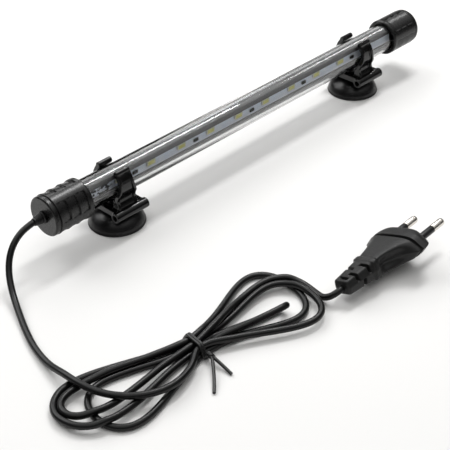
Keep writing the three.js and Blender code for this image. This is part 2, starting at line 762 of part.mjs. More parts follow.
function plugBodyGeometry() {
  const { bevel, grooveX } = PLUG;
  const block = new THREE.ExtrudeGeometry(plugOutline(), {
    depth: PLUG.thickness - 2 * bevel,
    bevelSize: bevel,
    bevelThickness: bevel,
    bevelSegments: 2,
    curveSegments: 3,
  }).translate(0, 0, -PLUG.thickness / 2 + bevel);
  const grip = intersect(block, extrudedAlongX(plugSection(0), PLUG.bodyLength + 4, -PLUG.bodyLength - 3));
  const grooveOuter = box(1, PLUG.width + 4, PLUG.thickness + 4, [grooveX, 0, 0]);
  const grooveInner = extrudedAlongX(plugSection(1.3), 2, grooveX - 1);
  const pinHoles = [-1, 1].map((side) => rodAlongX(1.6, 12, [0, (side * PIN.spacing) / 2, 0], 16));
  return cut(join([grip, reliefGeometry()]), [cut(grooveOuter, [grooveInner]), ...pinHoles]);
}

function pinGeometry() {
  const { radius, length, sleeve, shank, root } = PIN;
  const profile = [
    [0, -root],
    [shank, -root],
    [shank, sleeve + 0.2],
    [radius, sleeve + 0.2],
    [radius, length - 1.4],
    [radius * 0.85, length - 0.6],
    [radius * 0.5, length - 0.1],
    [0, length],
  ];
  return turnedAboutX(profile, 14);
}

function sleeveGeometry() {
  const inner = PIN.shank + 0.2;
  const outer = PIN.radius - 0.05;
  const ring = [
    [inner, GAP],
    [outer, GAP],
    [outer, PIN.sleeve],
    [inner, PIN.sleeve],
    [inner, GAP],
  ];
  return turnedAboutX(ring, 14);
}

function buildPlug(parent) {
  const plug = new THREE.Group();
  plug.position.set(...PLUG.face);
  plug.rotation.set(-PLUG.roll, -PLUG.tilt, PLUG.yaw, 'ZYX');
  parent.add(plug);
  addMesh(plug, 'plug_body', plugBodyGeometry(), blackRubber);
  for (const [side, sign] of [['left', 1], ['right', -1]]) {
    const y = (sign * PIN.spacing) / 2;
    addMesh(plug, `${side}_plug_pin`, pinGeometry(), nickel, [0, y, 0]);
    addMesh(plug, `${side}_pin_sleeve`, sleeveGeometry(), blackRubber, [0, y, 0]);
  }
}

// ---------------------------------------------------------------- assembly

const light = new THREE.Group();
const lamp = new THREE.Group();
lamp.position.z = AXIS_HEIGHT;
light.add(lamp);

buildEnclosure(lamp);
buildLedStrip(lamp);
buildDriver(lamp);
buildWires(lamp);
buildHolder(light, 'near');
buildHolder(light, 'far');
buildCord(light);
buildPlug(light);

export default light;
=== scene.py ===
"""Looks for the LED aquarium light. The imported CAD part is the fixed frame; metres, +Z up."""

import math

import bmesh
import bpy
import numpy as np
from mathutils import Matrix, Vector


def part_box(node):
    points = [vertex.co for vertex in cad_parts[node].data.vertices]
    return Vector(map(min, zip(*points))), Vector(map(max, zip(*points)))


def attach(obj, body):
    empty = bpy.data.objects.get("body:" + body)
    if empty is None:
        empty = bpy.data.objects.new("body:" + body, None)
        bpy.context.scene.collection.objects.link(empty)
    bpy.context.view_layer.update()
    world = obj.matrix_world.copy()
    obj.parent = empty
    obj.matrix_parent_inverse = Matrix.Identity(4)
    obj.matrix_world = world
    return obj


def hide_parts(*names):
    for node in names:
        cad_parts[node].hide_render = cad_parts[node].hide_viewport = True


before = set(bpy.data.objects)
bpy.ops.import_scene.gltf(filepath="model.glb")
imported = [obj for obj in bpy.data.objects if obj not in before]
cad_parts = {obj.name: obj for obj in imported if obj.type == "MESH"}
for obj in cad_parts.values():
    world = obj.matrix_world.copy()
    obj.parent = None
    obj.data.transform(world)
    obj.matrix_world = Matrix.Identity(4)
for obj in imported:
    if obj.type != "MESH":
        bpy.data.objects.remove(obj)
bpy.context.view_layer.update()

MM = 0.001
TAU = 2 * math.pi

# ------------------------------------------------------------------ camera, lights and floor

CAMERA_PLACE = Vector((-0.40706, -0.38362, 0.34264))
CAMERA_HEADING = 0.7804  # from +X towards +Y, radians
CAMERA_PITCH = 0.6172  # down from the horizon
CAMERA_ROLL = -0.0164
CAMERA_LENS = 91.44  # millimetres on a 36 mm sensor


# How bright the room is from the horizon (0) to overhead (1).
SKY = [(0.0, 0.02), (0.3, 0.05), (0.55, 0.16), (0.72, 0.42), (0.85, 0.95), (1.0, 1.0)]
SKY_STRENGTH = 1.3


def link(obj):
    bpy.context.scene.collection.objects.link(obj)
    return obj


def make_camera():
    data = bpy.data.cameras.new("camera")
    data.lens = CAMERA_LENS
    data.sensor_width = 36
    camera = link(bpy.data.objects.new("camera", data))
    bpy.context.scene.camera = camera
    flat = math.cos(CAMERA_PITCH)
    forward = Vector((
        flat * math.cos(CAMERA_HEADING),
        flat * math.sin(CAMERA_HEADING),
        -math.sin(CAMERA_PITCH),
    ))
    right = Vector((math.sin(CAMERA_HEADING), -math.cos(CAMERA_HEADING), 0))
    up = right.cross(forward)
    rolled_right = math.cos(CAMERA_ROLL) * right + math.sin(CAMERA_ROLL) * up
    rolled_up = -math.sin(CAMERA_ROLL) * right + math.cos(CAMERA_ROLL) * up
    turn = Matrix((rolled_right, rolled_up, -forward)).transposed()
    camera.matrix_world = Matrix.Translation(CAMERA_PLACE) @ turn.to_4x4()


def softbox(name, place, aim, width, height, power):
    data = bpy.data.lights.new(name, "AREA")
    data.shape = "RECTANGLE"
    data.size, data.size_y = width, height
    data.energy = power
    lamp = link(bpy.data.objects.new(name, data))
    lamp.location = place
    lamp.rotation_mode = "QUATERNION"
    lamp.rotation_quaternion = (Vector(aim) - Vector(place)).to_track_quat("-Z", "Y")


def make_studio():
    world = bpy.data.worlds.new("world")
    bpy.context.scene.world = world
    world.use_nodes = True
    tree = world.node_tree
    direction = tree.nodes.new("ShaderNodeTexCoord")
    split = tree.nodes.new("ShaderNodeSeparateXYZ")
    ramp = tree.nodes.new("ShaderNodeValToRGB")
    tree.links.new(direction.outputs["Generated"], split.inputs["Vector"])
    tree.links.new(split.outputs["Z"], ramp.inputs["Fac"])
    tree.links.new(ramp.outputs["Color"], tree.nodes["Background"].inputs["Color"])
    tree.nodes["Background"].inputs["Strength"].default_value = SKY_STRENGTH
    stops = ramp.color_ramp.elements
    stops[0].position, stops[1].position = SKY[0][0], SKY[-1][0]
    for place, _ in SKY[1:-1]:
        stops.new(place)
    for stop, (_, grey) in zip(stops, SKY):
        stop.color = (grey, grey, grey * 0.99, 1)
    softbox("key", (-0.25, 1.0, 1.0), (0, 0, 0), 0.9, 0.9, 8.5)
    softbox("glow", (0.62, 0.95, 0.75), (0, 0, 0), 0.7, 0.45, 3)
    softbox("strip", (0.5, 0.22, 1.0), (0.5, 0.1, 0), 0.56, 0.2, 6.3)
    bpy.context.scene.view_settings.view_transform = "Standard"


# ------------------------------------------------------------------ materials


def noise_nodes(tree, scale, stretch=(1, 1, 1), detail=4):
    coordinates = tree.nodes.new("ShaderNodeTexCoord")
    mapping = tree.nodes.new("ShaderNodeMapping")
    mapping.inputs["Scale"].default_value = stretch
    tree.links.new(coordinates.outputs["Object"], mapping.inputs["Vector"])
    noise = tree.nodes.new("ShaderNodeTexNoise")
    noise.inputs["Scale"].default_value = scale
    noise.inputs["Detail"].default_value = detail
    tree.links.new(mapping.outputs["Vector"], noise.inputs["Vector"])
    return noise


def ranged(tree, source, low, high, out_low, out_high):
    node = tree.nodes.new("ShaderNodeMapRange")
    for name, value in (("From Min", low), ("From Max", high), ("To Min", out_low), ("To Max", out_high)):
        node.inputs[name].default_value = value
    tree.links.new(source, node.inputs["Value"])
    return node.outputs["Result"]


def mixed(tree, factor, first, second):
    node = tree.nodes.new("ShaderNodeMix")
    node.data_type = "RGBA"
    tree.links.new(factor, node.inputs["Factor"])
    for socket, value in ((node.inputs["A"], first), (node.inputs["B"], second)):
        if isinstance(value, bpy.types.NodeSocket):
            tree.links.new(value, socket)
        else:
            socket.default_value = (*value, 1)
    return node.outputs["Result"]


def moulded(
    name, dark, light, rough=(0.3, 0.4), grain=1500, bump=0.02, cloud=90, stretch=(1, 1, 1), **sockets
):
    """A moulded or drawn surface: soft clouds of colour, uneven gloss and a fine grain.

    The grain stands bump millimetres proud. A surface with a bump of 0 is smooth.
    """
    look = bpy.data.materials.new(name)
    look.use_nodes = True
    tree = look.node_tree
    shader = tree.nodes["Principled BSDF"]
    clouds = noise_nodes(tree, cloud, stretch, 3)
    fine = noise_nodes(tree, grain, stretch, 5)
    spread = ranged(tree, clouds.outputs["Fac"], 0.3, 0.7, 0, 1)
    tree.links.new(mixed(tree, spread, dark, light), shader.inputs["Base Color"])
    gloss = ranged(tree, fine.outputs["Fac"], 0.25, 0.75, *rough)
    tree.links.new(gloss, shader.inputs["Roughness"])
    if bump:
        relief = tree.nodes.new("ShaderNodeBump")
        relief.inputs["Strength"].default_value = 0.6
        relief.inputs["Distance"].default_value = bump * MM
        tree.links.new(fine.outputs["Fac"], relief.inputs["Height"])
        tree.links.new(relief.outputs["Normal"], shader.inputs["Normal"])
    for socket, value in sockets.items():
        shader.inputs[socket.replace("_", " ")].default_value = value
    return look


PATCHES_FADE_X = (-0.1015, -0.1045)  # from a plain board to a fully patchy one
PATCH_COLOUR = (0.03, 0.032, 0.036)


def board_look():
    """The board's bluish white solder mask, patchy at the cord's end, where the driver is joined."""
    look = moulded("board_mask", (0.8, 0.87, 0.99), (0.88, 0.93, 1), (0.35, 0.5), 900, 0.01, 160)
    tree = look.node_tree
    shader = tree.nodes["Principled BSDF"]
    mask = shader.inputs["Base Color"].links[0].from_socket
    patches = noise_nodes(tree, 420, (1, 1, 1.2), 5)
    ragged = ranged(tree, patches.outputs["Fac"], 0.47, 0.53, 0, 1)
    coordinates = tree.nodes.new("ShaderNodeTexCoord")
    split = tree.nodes.new("ShaderNodeSeparateXYZ")
    tree.links.new(coordinates.outputs["Object"], split.inputs["Vector"])
    near_cord = ranged(tree, split.outputs["X"], *PATCHES_FADE_X, 0, 1)
    both = tree.nodes.new("ShaderNodeMath")
    both.operation = "MULTIPLY"
    tree.links.new(ragged, both.inputs[0])
    tree.links.new(near_cord, both.inputs[1])
    patched = mixed(tree, both.outputs[0], mask, PATCH_COLOUR)
    tree.links.new(patched, shader.inputs["Base Color"])
    return look


def make_looks():
    looks = {
        "cap_black": moulded(
            "cap_plastic", (0.004, 0.004, 0.004), (0.008, 0.0078, 0.008),
            (0.24, 0.34), 1100, 0.03, Specular_IOR_Level=0.4,
        ),
        "clip_black": moulded(
            "clip_plastic", (0.002, 0.002, 0.002), (0.004, 0.004, 0.004),
            (0.14, 0.22), 900, 0.01, Specular_IOR_Level=0.42,
        ),
        "black_rubber": moulded(
            "rubber", (0.002, 0.002, 0.002), (0.006, 0.0055, 0.0065),
            (0.27, 0.42), 700, 0.03, 130, Specular_IOR_Level=0.4,
        ),
        "dark_carrier": moulded(
            "carrier_metal", (0.08, 0.08, 0.082), (0.11, 0.11, 0.112),
            (0.35, 0.5), 1500, 0.001, 60, (0.06, 1, 1), Metallic=0.5,
        ),
        "green_board": moulded(
            "driver_mask", (0.02, 0.09, 0.04), (0.03, 0.13, 0.06),
            (0.3, 0.45), 800, 0.01,
        ),
        "led_phosphor": moulded(
            "phosphor", (0.7, 0.68, 0.2), (0.82, 0.8, 0.36),
            (0.3, 0.45), 2400, 0.02, 500,
        ),
        "part_black": moulded(
            "part_epoxy", (0.012, 0.012, 0.012), (0.02, 0.02, 0.02),
            (0.35, 0.5), 2000, 0.02,
        ),
        "part_beige": moulded(
            "part_film", (0.42, 0.3, 0.12), (0.5, 0.36, 0.16),
            (0.3, 0.45), 900, 0.02,
        ),
        "wire_brown": moulded(
            "wire_brown", (0.09, 0.03, 0.015), (0.12, 0.045, 0.02),
            (0.35, 0.5), 1200, 0.01,
        ),
        "wire_blue": moulded(
            "wire_blue", (0.02, 0.06, 0.2), (0.03, 0.08, 0.27),
            (0.35, 0.5), 1200, 0.01,
        ),
        "wire_red": moulded(
            "wire_red", (0.4, 0.02, 0.015), (0.5, 0.03, 0.02),
            (0.35, 0.5), 1200, 0.01,
        ),
        "black_cord": moulded(
            "cord_jacket", (0.002, 0.002, 0.002), (0.004, 0.004, 0.004),
            (0.26, 0.36), 1300, 0.03, 120, Specular_IOR_Level=0.3,
        ),
        "tie_black": moulded(
            "tie_plastic", (0.004, 0.004, 0.004), (0.009, 0.009, 0.009),
            (0.3, 0.4), 1500, 0.02,
        ),
        "plug_black": moulded(
            "plug_rubber", (0.004, 0.004, 0.004), (0.008, 0.008, 0.008),
            (0.4, 0.54), 1400, 0.07, 110, Specular_IOR_Level=0.35,
        ),
        "nickel": moulded(
            "pin_nickel", (0.66, 0.62, 0.57), (0.76, 0.73, 0.69),
            (0.16, 0.3), 1800, 0.008, 200, (0.2, 1, 1), Metallic=1.0,
        ),
        "led_body": moulded(
            "led_ceramic", (0.78, 0.78, 0.66), (0.85, 0.85, 0.76),
            (0.35, 0.5), 2000, 0.02,
        ),
        "solder": moulded(
            "solder_tin", (0.42, 0.43, 0.45), (0.55, 0.56, 0.58),
            (0.25, 0.45), 1600, 0.03, Metallic=1.0,
        ),
        "white_board": board_look(),
    }
    looks["clear_acrylic"] = moulded(
        "acrylic", (0.965, 0.975, 0.975), (1, 1, 1), (0.02, 0.035), 60, 0,
        IOR=1.49, Transmission_Weight=1.0,
    )
    return looks


# ------------------------------------------------------------------ mesh helpers


def to_mesh(name, points, faces, crease=38):
    mesh = bpy.data.meshes.new(name)
    mesh.from_pydata([tuple(point) for point in points], [], faces)
    mesh.update()
    mesh.shade_smooth()
    mesh.set_sharp_from_angle(angle=math.radians(crease))
    return mesh


def piece(name, mesh, slot, body, *nodes):
    """A finished piece that rides on a body and stands for some CAD nodes."""
    mesh.name = name
    obj = link(bpy.data.objects.new(name, mesh))
    mesh.materials.append(LOOKS[slot])
    if nodes:
        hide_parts(*nodes)
    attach(obj, body)
    return obj


def fillet(profile, radius, steps=4, closed=False):
    """The profile with its corners rounded off."""
    corners = [Vector(corner) for corner in profile]
    line = []
    for index, corner in enumerate(corners):
        if not closed and index in (0, len(corners) - 1):
            line.append(corner)
            continue
        before = corners[index - 1] - corner
        after = corners[(index + 1) % len(corners)] - corner
        reach = min(radius, before.length * 0.46, after.length * 0.46)
        start = corner + before.normalized() * reach
        end = corner + after.normalized() * reach
        for step in range(steps + 1):
            t = step / steps
            line.append(start * (1 - t) ** 2 + corner * 2 * t * (1 - t) + end * t * t)
    return line


def filled_in(profile, step):
    """The profile with extra points on its long straight stretches."""
    line = [profile[0]]
    for before, after in zip(profile, profile[1:]):
        count = max(1, math.ceil((Vector(after) - Vector(before)).length / step))
        line += [Vector(before).lerp(Vector(after), k / count) for k in range(1, count + 1)]
    return line


def turned(profile, segments, closed=False, shape=None):
    """Points and faces of a profile of (radius, height) in millimetres turned about local Z."""
    points, rings, faces = [], [], []
    for radius, height in profile:
        if radius < 1e-6:
            rings.append([len(points)])
            points.append(Vector((0, 0, height * MM)))
            continue
        rings.append(range(len(points), len(points) + segments))
        for k in range(segments):
            angle = TAU * k / segments
            r = shape(radius, height, angle) if shape else radius
            points.append(Vector((r * math.cos(angle), r * math.sin(angle), height)) * MM)
    pairs = list(zip(rings, rings[1:])) + ([(rings[-1], rings[0])] if closed else [])
    for low, high in pairs:
        for k in range(segments):
            m = (k + 1) % segments
            corners = [low[k % len(low)], low[m % len(low)], high[m % len(high)], high[k % len(high)]]
            face = [c for i, c in enumerate(corners) if c != corners[i - 1]]
            if len(face) > 2:
                faces.append(face)
    return points, faces


ALONG_X = Matrix(((0, 0, 1, 0), (1, 0, 0, 0), (0, 1, 0, 0), (0, 0, 0, 1)))  # local Z to world X


def placed(shape, matrix):
    points, faces = shape
    return [matrix @ point for point in points], faces


def together(*shapes):
    points, faces = [], []
    for more_points, more_faces in shapes:
        shift = len(points)
        points += list(more_points)
        faces += [[corner + shift for corner in face] for face in more_faces]
    return points, faces


def melted(name, mesh, voxel, rounds, crease=60):
    """One even skin over a mesh of overlapping solids, with its edges and joints rounded."""
    rough = link(bpy.data.objects.new(name, mesh))
    remesh = rough.modifiers.new("skin", "REMESH")
    remesh.mode = "VOXEL"
    remesh.voxel_size = voxel * MM
    soften = rough.modifiers.new("soften", "SMOOTH")
    soften.factor = 0.5
    soften.iterations = rounds
    done = bpy.data.meshes.new_from_object(rough.evaluated_get(bpy.context.evaluated_depsgraph_get()))
    bpy.data.objects.remove(rough)
    done.materials.clear()
    done.shade_smooth()
    done.set_sharp_from_angle(angle=math.radians(crease))
    return done


# ------------------------------------------------------------------ cord and hank

CORD_DIAMETER = 0.0033
CORD_RADIUS = CORD_DIAMETER / 2
HANK_WAIST = (-0.143, -0.1028)
HANK_TURN = -0.117

CORD_RUN_ROUTE = [
    (-0.1513, 0, 0.0253),
    (-0.158, -0.0003, 0.0241),
    (-0.1645, -0.0012, 0.0204),
    (-0.1697, -0.0034, 0.015),
    (-0.1737, -0.0076, 0.0093),
    (-0.1776, -0.0146, 0.0048),
    (-0.1822, -0.0246, 0.0024),
    (-0.1876, -0.0366, 0.0017),
    (-0.1926, -0.05, 0.0022),
    (-0.1958, -0.064, 0.0036),
]
CORD_LEAD_ROUTE = [
    (-0.0776, -0.1212, 0.0026),
    (-0.0769, -0.1244, 0.0042),
    (-0.0754, -0.1267, 0.0064),
    (-0.0716, -0.1274, 0.0075),
]
# The rest is in the hank's own frame: along it, across it and up, from its waist.
OVER_LEFT_LOBE = [
    (-0.0565, 0.02, 0.0062),
    (-0.0553, 0.0116, 0.0066),
    (-0.0519, 0.002, 0.0062),
    (-0.046, -0.007, 0.0062),
    (-0.038, -0.0128, 0.0062),
    (-0.0295, -0.0154, 0.006),
    (-0.0205, -0.0148, 0.0056),
    (-0.011, -0.0108, 0.005),
]
OUT_TO_LEAD = [
    (0.012, 0.0036, 0.0054),
    (0.024, 0.0078, 0.0048),
    (0.036, 0.012, 0.0034),
    (0.048, 0.0146, 0.0032),
    (0.057, 0.0136, 0.0036),
    (0.064, 0.009, 0.0032),
    (0.067, 0.003, 0.0022),
    (0.0676, -0.003, 0.0018),
    (0.0674, -0.0084, 0.0019),
]
LOW = CORD_RADIUS
TOP = CORD_RADIUS + 0.87 * CORD_DIAMETER
WAIST_SLOTS = [
    (-0.0028, TOP),
    (0.0057, LOW),
    (-0.0011, LOW),
    (0.0023, LOW),
    (-0.0045, LOW),
    (0.004, TOP),
    (0.0006, TOP),
]


def hank_to_world(point):
    along, across, height = point
    cosine, sine = math.cos(HANK_TURN), math.sin(HANK_TURN)
    return (
        HANK_WAIST[0] + along * cosine - across * sine,
        HANK_WAIST[1] + along * sine + across * cosine,
        height,
    )


def hank_loop(side, reach, half, centre, power, layer, enter, leave, count=20):
    """One round loop from a slot in the waist out to one side and back to another slot."""
    points = []
    pinch = 0.3 if side > 0 else 0
    for step in range(1, count):
        angle = math.pi * step / count
        out = math.sin(angle) ** power
        slot = enter if 2 * step < count else leave
        near = (1 - out) ** 2
        swing = -side * half * math.sin(2 * angle) * out**pinch
        across = centre * out**0.6 + swing + slot[0] * near
        points.append((side * reach * out, across, slot[1] * near + (LOW + layer) * (1 - near)))
    return points


def hank_fold(reach, width, enter, leave):
    """A short fold: out along its near, higher side and back along the far, lower one."""
    radius, tilt, middle = width / 2, math.radians(48), -0.0056
    near = (middle - radius * math.cos(tilt), LOW + width * math.sin(tilt))
    far = (middle + radius * math.cos(tilt), LOW)
    legs = []
    for slot, side in ((enter, near), (leave, far)):
        leg = []
        for step in range(1, 7):
            t = step / 7
            ease = t * t * (3 - 2 * t)
            blend = [slot[k] + (side[k] - slot[k]) * ease for k in (0, 1)]
            leg.append(((reach - radius) * t, *blend))
        legs.append(leg)
    bend = []
    for step in range(7):
        swing = radius * math.cos(math.pi * step / 6)
        bend.append((
            reach - radius + radius * math.sin(math.pi * step / 6),
            middle - swing * math.cos(tilt),
            LOW + (radius + swing) * math.sin(tilt),
        ))
    return [*legs[0], *bend, *reversed(legs[1])]


def hank_route():
    slots = WAIST_SLOTS
    turns = [
        hank_loop(1, 0.0639, 0.0173, -0.0058, 0.75, 0.002, slots[0], slots[1]),
        hank_loop(-1, 0.0706, 0.0149, 0.0012, 0.75, 0.002, slots[1], slots[2]),
        hank_fold(0.049, 0.007, slots[2], slots[3]),
        hank_loop(-1, 0.0588, 0.0152, -0.0066, 0.75, 0, slots[3], slots[4]),
        hank_loop(1, 0.0628, 0.02, 0.0064, 0.75, 0, slots[4], slots[5]),
        hank_loop(-1, 0.0693, 0.009, 0.0028, 0.7, 0.001, slots[5], slots[6]),
    ]
    route = list(OVER_LEFT_LOBE)
    for slot, turn in zip(slots, turns):
        route += [(0, *slot), *turn]
    route += [(0, *slots[-1]), *OUT_TO_LEAD]
    return [hank_to_world(point) for point in route]


def smooth_line(route, step):
    """An even smooth line through the route's points."""
    route = np.array(route)
    place = np.concatenate([[0], np.cumsum(np.linalg.norm(np.diff(route, axis=0), axis=1) ** 0.5)])
    slope = np.gradient(route, place, axis=0)
    line = []
    for k in range(len(route) - 1):
        span = place[k + 1] - place[k]
        for x in np.linspace(0, 1, 12, endpoint=False):
            line.append(
                (2 * x**3 - 3 * x**2 + 1) * route[k]
                + (x**3 - 2 * x**2 + x) * span * slope[k]
                + (3 * x**2 - 2 * x**3) * route[k + 1]
                + (x**3 - x**2) * span * slope[k + 1]
            )
    line = np.array([*line, route[-1]])
    return evenly(line, step)


def line_lengths(line):
    return np.concatenate([[0], np.cumsum(np.linalg.norm(np.diff(line, axis=0), axis=1))])


def evenly(line, step):
    lengths = line_lengths(line)
    marks = np.linspace(0, lengths[-1], int(round(lengths[-1] / step)) + 1)
    return np.stack([np.interp(marks, lengths, line[:, k]) for k in range(3)], 1)


def settled(line, fixed, rounds=400):
    """The line after its stretches push each other apart, sink under their weight and stay smooth."""
    count, half = len(line), 13
    gaps = np.linalg.norm(line[:, None] - line[None], axis=2)
    first, second = np.nonzero(np.triu(gaps < 5 * CORD_DIAMETER, 6))
    way = np.gradient(line, axis=0)
    way /= np.linalg.norm(way, axis=1)[:, None]
    crossing = np.abs((way[first] * way[second]).sum(1)) < 0.9
    kernel = np.hanning(2 * half + 3)[1:-1]
    kernel /= kernel.sum()
    points = line.copy()
    for turn in range(rounds):
        late = turn / rounds
        shift = points - line
        shift[:, :2] *= 0.98
        padded = np.pad(shift, ((half, half), (0, 0)), mode="edge")
        smooth = np.stack([np.convolve(padded[:, k], kernel, "valid") for k in range(3)], 1)
        points = line + shift + (0.5 - 0.2 * late) * (smooth - shift)
        points[:, 2] -= 0.06 * MM * (1 - late)
        for _ in range(4):
            apart = points[second] - points[first]
            far = np.linalg.norm(apart, axis=1)
            hit = far < CORD_DIAMETER
            a, b, gap, across = first[hit], second[hit], apart[hit], crossing[hit]
            push = gap / np.maximum(far[hit], 1e-9)[:, None] * ((CORD_DIAMETER - far[hit]) / 2)[:, None]
            tall = np.sqrt(np.maximum(CORD_DIAMETER**2 - gap[:, 0] ** 2 - gap[:, 1] ** 2, 0))
            lift = np.where(gap[:, 2] >= 0, 0.5, -0.5) * (tall - np.abs(gap[:, 2]))
            push[across] = 0
            push[across, 2] = lift[across]
            move, hits = np.zeros_like(points), np.zeros(count)
            np.add.at(move, a, -push)
            np.add.at(move, b, push)
            np.add.at(hits, a, 1)
            np.add.at(hits, b, 1)
            points = points + 1.2 * move / np.maximum(hits, 1)[:, None]
        points[:, 2] = np.maximum(points[:, 2], CORD_RADIUS)
        points[fixed] = line[fixed]
    return points


def cord_line():
    line = smooth_line([*CORD_RUN_ROUTE, *hank_route(), *CORD_LEAD_ROUTE], CORD_RADIUS)
    lengths = line_lengths(line)
    cosine, sine = math.cos(HANK_TURN), math.sin(HANK_TURN)
    along = (line[:, 0] - HANK_WAIST[0]) * cosine + (line[:, 1] - HANK_WAIST[1]) * sine
    held = (lengths < 0.07) | (lengths > lengths[-1] - 0.01)
    tied = (np.abs(along) < 0.0012) & (lengths > 0.12)
    return settled(line, held | tied)


def swept(name, points, radius, sides=5, order=4, resolution=3):
    """A curve object along the points, round in section."""
    curve = bpy.data.curves.new(name, "CURVE")
    curve.dimensions = "3D"
    curve.bevel_depth = radius
    curve.bevel_resolution = sides
    curve.resolution_u = resolution
    curve.use_fill_caps = True
    spline = curve.splines.new("NURBS")
    spline.points.add(len(points) - 1)
    for knot, place in zip(spline.points, points):
        knot.co = (*place, 1)
    spline.order_u = order
    spline.use_endpoint_u = True
    return curve


def make_cord():
    line = cord_line()
    inside = PLUG_PLACE @ Vector((-40 * MM, 0, 0))
    tail = Vector(line[-1])
    into_plug = [tail.lerp(inside, k / 4) for k in range(1, 5)]
    points = [*map(Vector, line[:-1:2]), tail, *into_plug]
    curve = swept("mains_cord", points, CORD_RADIUS)
    cord = link(bpy.data.objects.new("mains_cord", curve))
    curve.materials.append(LOOKS["black_cord"])
    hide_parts("cord_run", "cord_lead", "cord_hank")
    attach(cord, "lamp")
    return cord, sum((b - a).length for a, b in zip(points, points[1:]))


TIE_RADIUS = 0.8 * MM


def round_bundle(angle, along):
    """A point on the tie's way round the strands in the waist."""
    way = (math.cos(angle), math.sin(angle))
    slot = max(WAIST_SLOTS, key=lambda s: s[0] * way[0] + s[1] * way[1])
    reach = CORD_RADIUS + TIE_RADIUS
    return (along, slot[0] + reach * way[0], max(slot[1] + reach * way[1], TIE_RADIUS))


def tie_twist(turn):
    """One of the tie's two strands where they are twisted together, from the free ends to the band."""
    points = []
    for k in range(7):
        angle = turn + 1.3 * k
        across = -0.0103 + 0.0004 * k
        points.append((0.0008 + 0.0008 * math.cos(angle), across, 0.0036 + 0.0009 * math.sin(angle)))
    return points


def make_tie():
    long_end = [
        (0.0022, -0.0222, TIE_RADIUS),
        (0.0021, -0.0185, 0.0014),
        (0.0016, -0.0145, 0.0026),
        (0.0012, -0.0115, 0.0032),
    ]
    short_end = [
        (0.0002, -0.0115, 0.004),
        (-0.0018, -0.0142, 0.0038),
        (-0.0046, -0.0185, 0.0028),
        (-0.0078, -0.0228, 0.0016),
        (-0.011, -0.0265, TIE_RADIUS),
    ]
    steps = 56  # for two turns round the bundle, side by side
    wraps = [
        round_bundle(math.pi - TAU * 2 * k / steps, -0.0012 + 0.0024 * k / steps)
        for k in range(steps + 1)
    ]
    route = [*long_end, *tie_twist(0), *wraps, *reversed(tie_twist(math.pi)), *short_end]
    curve = swept("wire_tie", [hank_to_world(point) for point in route], TIE_RADIUS, 4)
    rough = link(bpy.data.objects.new("rough_tie", curve))
    mesh = bpy.data.meshes.new_from_object(rough.evaluated_get(bpy.context.evaluated_depsgraph_get()))
    bpy.data.objects.remove(rough)
    piece("wire_tie", mesh, "tie_black", "lamp", "cord_tie")


# ------------------------------------------------------------------ tube, caps and gland

TUBE_LOW, TUBE_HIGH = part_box("clear_tube")
AXIS = (TUBE_LOW + TUBE_HIGH) / 2
ON_AXIS = Matrix.Translation((0, AXIS.y, AXIS.z)) @ ALONG_X
CAP_TEETH = {"start": 3.4, "pitch": 5.9, "count": 3, "depth": 0.9}


def smoothstep(low, high, value):
    t = min(max((value - low) / (high - low), 0), 1)
    return t * t * (3 - 2 * t)


def cap_skin(radius, height, angle):
    """The cap's outer skin: in four sectors it steps up at each tooth and falls away behind the step."""
    along = (height - CAP_TEETH["start"]) / CAP_TEETH["pitch"]
    if radius < 10.75 or not 0 <= along <= CAP_TEETH["count"]:
        return radius
    step = along % 1
    depth = CAP_TEETH["depth"] * min(step, (1 - step) * 14) if along < CAP_TEETH["count"] else 0
    sector = abs((angle - 0.35) % (TAU / 4) - TAU / 8)
    return radius - depth * smoothstep(0.52, 0.49, sector)


def make_cap(name, node, hole):
    outside = [
        (9.9, 0), (10.6, 0.6), (10.6, 2.4), (10.1, 2.65), (10.1, 2.95), (10.9, 3.2),
        (10.9, 23.2), (10.2, 24),
    ]
    inside = [(8.75, 24), (8.75, 5.5)]
    start = [(hole, 5.5), (hole, 0)] if hole else [(0, 0)]
    finish = [(hole, 5.5)] if hole else [(0, 5.5)]
    profile = fillet([*start, *outside, *inside, *finish], 0.25)
    shape = turned(filled_in(profile, 0.15), 240, closed=bool(hole), shape=cap_skin)
    low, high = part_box(node)
    if node.startswith("near"):
        matrix = Matrix.Translation((low.x, 0, 0)) @ ON_AXIS
    else:
        matrix = Matrix.Translation((high.x, 0, 0)) @ Matrix.Rotation(math.pi, 4, "Z") @ ON_AXIS
    piece(name, to_mesh(name, *placed(shape, matrix), crease=30), "cap_black", "lamp", node)


def make_enclosure():
    half = TUBE_HIGH.x / MM
    ring = [(7.2, -half), (8.4, -half), (8.4, half), (7.2, half)]
    shape = turned(fillet(ring, 0.2, closed=True), 128, closed=True)
    tube = to_mesh("acrylic_tube", *placed(shape, ON_AXIS))
    piece("acrylic_tube", tube, "clear_acrylic", "lamp", "clear_tube")
    make_cap("near_cap", "near_end_cap", 2.8)
    make_cap("far_cap", "far_end_cap", 0)
    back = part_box("cord_gland")[0].x / MM
    gland = [(0, back), (2, back), (2.1, back + 0.5)]
    for rib in range(4):
        x = back + 1.2 + 0.85 * rib
        groove, crest = 2.05 + 0.15 * rib, 2.35 + 0.15 * rib
        gland += [(groove, x - 0.3), (crest, x - 0.1), (crest, x + 0.2)]
    flange, inner = -145.35, -139.3  # the flange's face on the cap, and the gland's end inside it
    gland += [(2.65, back + 4.6), (3.25, back + 4.9), (3.25, flange), (2.5, flange), (2.5, inner), (0, inner)]
    shape = turned(fillet(gland, 0.15), 64)
    skin = to_mesh("ribbed_gland", *placed(shape, ON_AXIS))
    piece("ribbed_gland", skin, "black_rubber", "lamp", "cord_gland")


# ------------------------------------------------------------------ clips and cups


